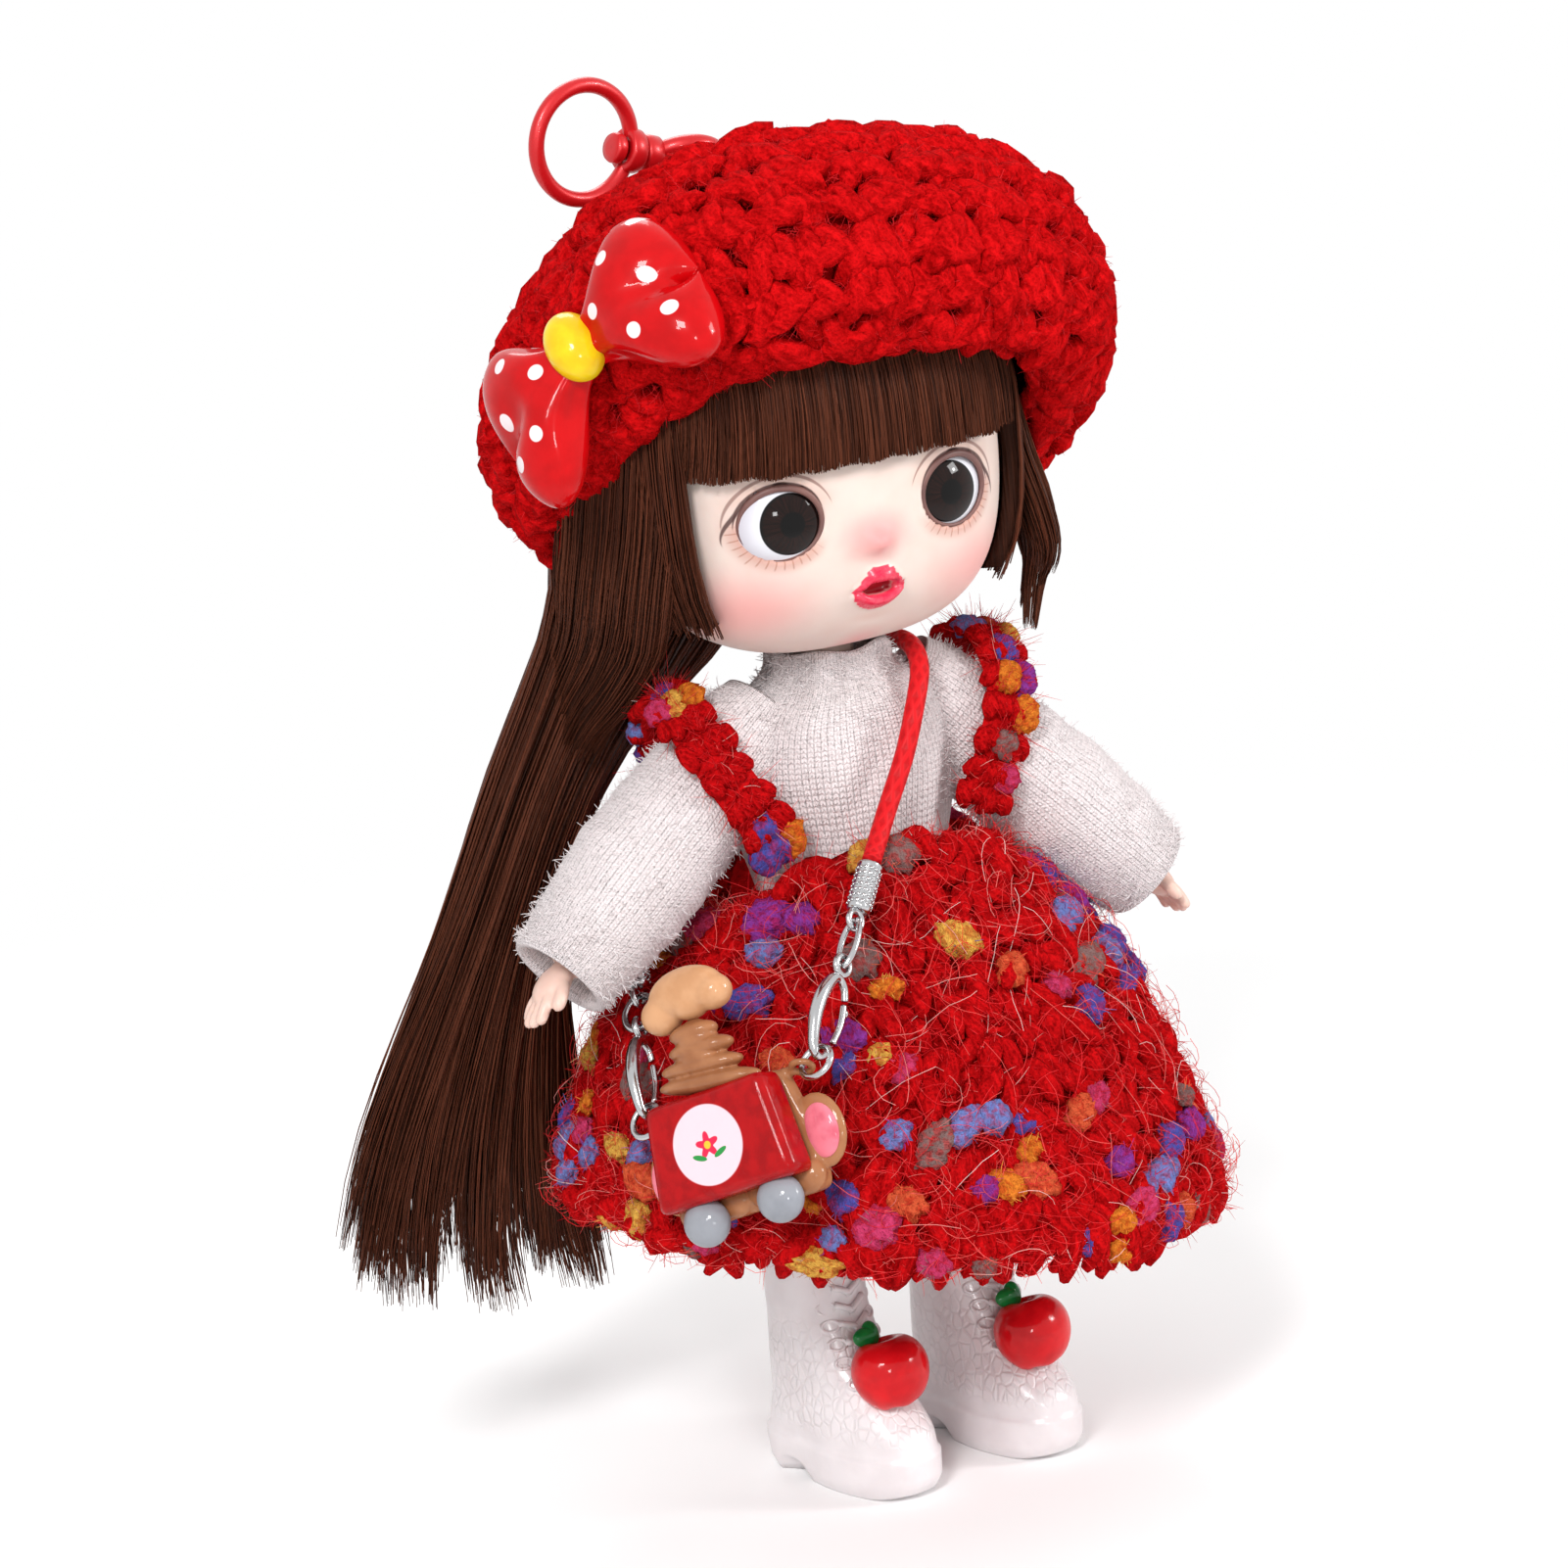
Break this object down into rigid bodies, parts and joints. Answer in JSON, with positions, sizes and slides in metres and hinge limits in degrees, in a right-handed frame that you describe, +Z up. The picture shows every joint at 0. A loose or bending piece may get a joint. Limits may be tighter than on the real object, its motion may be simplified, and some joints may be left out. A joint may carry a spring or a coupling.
{
  "type": "jointed doll charm",
  "caption": "Jointed mini doll in a crochet beret, knit sweater, mohair dress and boots, with a cross-body bag charm and a key ring clasp.",
  "frame": {"origin": "middle of the base of the bounding box, at the boot soles", "axes": "+Z up, the doll faces -Y, its left hand is at +X"},
  "size_m": [0.1088, 0.0826, 0.1768],
  "materials": {
    "white": "satin vinyl",
    "skin": "satin vinyl",
    "gloss": "glossy resin",
    "knit": "fine rib knit",
    "mohair": "flecked mohair",
    "eye": "polished",
    "hair": "combed synthetic hair",
    "crochet": "chunky crochet wool",
    "red_metal": "red lacquer",
    "yellow": "glossy resin",
    "silver": "polished",
    "cord": "waxed braid",
    "cocoa": "glazed resin",
    "grey": "glazed resin",
    "biscuit": "glazed resin"
  },
  "bodies": {
    "torso": {"torso": "skin", "sweater_body": "knit", "dress_skirt": "mohair", "dress_strap_left": "mohair", "dress_strap_right": "mohair", "bag_cord": "cord", "crimp_front": "silver", "crimp_side": "silver", "chain_link_front": "silver", "jump_ring_side": "silver", "clasp_body_front": "silver", "clasp_body_side": "silver", "bag_ring_front": "silver", "bag_ring_side": "silver"},
    "neck": {"neck_post": "skin"},
    "head": {"face_shell": "skin", "skull_cap": "skin", "eye_left": "eye", "eye_right": "eye", "wig_cap": "hair", "bangs": "hair", "hair_fall": "hair", "side_lock_left": "hair", "beret": "crochet", "bow_body": "gloss", "bow_knot": "yellow", "head_screw_eye": "red_metal"},
    "key_clasp": {"key_clasp_body": "red_metal"},
    "key_clasp_lever": {"key_clasp_lever": "red_metal"},
    "key_ring": {"key_ring": "red_metal"},
    "clasp_lever_front": {"clasp_lever_front": "silver"},
    "clasp_lever_side": {"clasp_lever_side": "silver"},
    "bag": {"bag_box": "gloss", "bag_base": "cocoa", "bag_swirl": "cocoa", "bag_biscuit": "biscuit", "bag_foot_left": "grey", "bag_foot_right": "grey"},
    "shoulder_right": {"shoulder_peg_right": "white"},
    "arm_right": {"upper_arm_right": "skin", "sleeve_right": "knit"},
    "forearm_right": {"forearm_right": "skin"},
    "hand_right": {"hand_right": "skin"},
    "hip_right": {"hip_peg_right": "white"},
    "thigh_right": {"thigh_right": "skin"},
    "lower_leg_right": {"shin_right": "skin", "boot_right": "white", "apple_right": "gloss"},
    "shoulder_left": {"shoulder_peg_left": "white"},
    "arm_left": {"upper_arm_left": "skin", "sleeve_left": "knit"},
    "forearm_left": {"forearm_left": "skin"},
    "hand_left": {"hand_left": "skin"},
    "hip_left": {"hip_peg_left": "white"},
    "thigh_left": {"thigh_left": "skin"},
    "lower_leg_left": {"shin_left": "skin", "boot_left": "white", "apple_left": "gloss"}
  },
  "joints": [
    {"name": "neck_turn", "type": "hinge", "parent": "torso", "child": "neck", "pos_m": [0.01115, 0.00139, 0.0977], "axis": [0, 0, 1], "range_deg": [-40, 40], "deforming": ["hair_fall"]},
    {"name": "neck_nod", "type": "hinge", "parent": "neck", "child": "head", "pos_m": [0.01115, 0.00139, 0.111], "axis": [1, 0, 0], "range_deg": [-8, 10]},
    {"name": "key_clasp_swing", "type": "hinge", "parent": "head", "child": "key_clasp", "pos_m": [0.01571, 0.02509, 0.16242], "axis": [-0.3224, 0.7938, -0.5157], "range_deg": [0, 85]},
    {"name": "key_lever_press", "type": "hinge", "parent": "key_clasp", "child": "key_clasp_lever", "pos_m": [0.00657, 0.02626, 0.16326], "axis": [-0.1481, -0.5803, -0.8008], "range_deg": [0, 16], "stiffness_Nm_per_rad": 0.004},
    {"name": "key_ring_swivel", "type": "hinge", "parent": "key_clasp", "child": "key_ring", "pos_m": [0.00169, 0.02237, 0.16699], "axis": [-0.935, -0.1818, 0.3047], "continuous": true},
    {"name": "bag_tip", "type": "hinge", "parent": "torso", "child": "bag", "pos_m": [-0.01996, -0.02396, 0.0615], "axis": [-0.5623, 0.7529, -0.342], "range_deg": [0, 30]},
    {"name": "clasp_lever_press_front", "type": "hinge", "parent": "torso", "child": "clasp_lever_front", "pos_m": [-0.00631, -0.02882, 0.07012], "axis": [-0.4585, 0.8611, -0.2197], "range_deg": [0, 15], "stiffness_Nm_per_rad": 0.0005},
    {"name": "clasp_lever_press_side", "type": "hinge", "parent": "torso", "child": "clasp_lever_side", "pos_m": [-0.02258, -0.00796, 0.06163], "axis": [-0.6014, 0.6872, -0.4075], "range_deg": [0, 15], "stiffness_Nm_per_rad": 0.0005},
    {"name": "shoulder_swing_right", "type": "hinge", "parent": "torso", "child": "shoulder_right", "pos_m": [-0.00385, 0.00139, 0.095], "axis": [-1, 0, 0], "range_deg": [-20, 15]},
    {"name": "shoulder_lift_right", "type": "hinge", "parent": "shoulder_right", "child": "arm_right", "pos_m": [-0.00385, 0.00139, 0.095], "axis": [0, 0.9744, -0.225], "range_deg": [-8, 18]},
    {"name": "elbow_right", "type": "hinge", "parent": "arm_right", "child": "forearm_right", "pos_m": [-0.02001, -0.00145, 0.0827], "axis": [-0.6157, 0.1773, 0.7678], "range_deg": [0, 50], "deforming": ["sleeve_right"]},
    {"name": "wrist_right", "type": "hinge", "parent": "forearm_right", "child": "hand_right", "pos_m": [-0.03049, -0.00329, 0.07472], "axis": [0.788, 0.1385, 0.5999], "range_deg": [-60, 60]},
    {"name": "hip_swing_right", "type": "hinge", "parent": "torso", "child": "hip_right", "pos_m": [0.00094, 0.00139, 0.06], "axis": [-1, 0, 0], "range_deg": [-10, 25]},
    {"name": "hip_spread_right", "type": "hinge", "parent": "hip_right", "child": "thigh_right", "pos_m": [0.00094, 0.00139, 0.06], "axis": [0, 1, 0], "range_deg": [0, 12]},
    {"name": "knee_right", "type": "hinge", "parent": "thigh_right", "child": "lower_leg_right", "pos_m": [0.00094, 0.00139, 0.039], "axis": [1, 0, 0], "range_deg": [0, 35]},
    {"name": "shoulder_swing_left", "type": "hinge", "parent": "torso", "child": "shoulder_left", "pos_m": [0.02615, 0.00139, 0.095], "axis": [-1, 0, 0], "range_deg": [-20, 15]},
    {"name": "shoulder_lift_left", "type": "hinge", "parent": "shoulder_left", "child": "arm_left", "pos_m": [0.02615, 0.00139, 0.095], "axis": [0, -0.9744, 0.225], "range_deg": [-2, 28]},
    {"name": "elbow_left", "type": "hinge", "parent": "arm_left", "child": "forearm_left", "pos_m": [0.03986, -0.00204, 0.08016], "axis": [-0.7431, -0.1505, -0.652], "range_deg": [0, 50], "deforming": ["sleeve_left"]},
    {"name": "wrist_left", "type": "hinge", "parent": "forearm_left", "child": "hand_left", "pos_m": [0.04876, -0.00426, 0.07053], "axis": [-0.6691, 0.1672, 0.7241], "range_deg": [-60, 60]},
    {"name": "hip_swing_left", "type": "hinge", "parent": "torso", "child": "hip_left", "pos_m": [0.02134, 0.00139, 0.06], "axis": [-1, 0, 0], "range_deg": [-10, 25]},
    {"name": "hip_spread_left", "type": "hinge", "parent": "hip_left", "child": "thigh_left", "pos_m": [0.02134, 0.00139, 0.06], "axis": [0, -1, 0], "range_deg": [0, 12]},
    {"name": "knee_left", "type": "hinge", "parent": "thigh_left", "child": "lower_leg_left", "pos_m": [0.02134, 0.00139, 0.039], "axis": [1, 0, 0], "range_deg": [0, 35]}
  ]
}
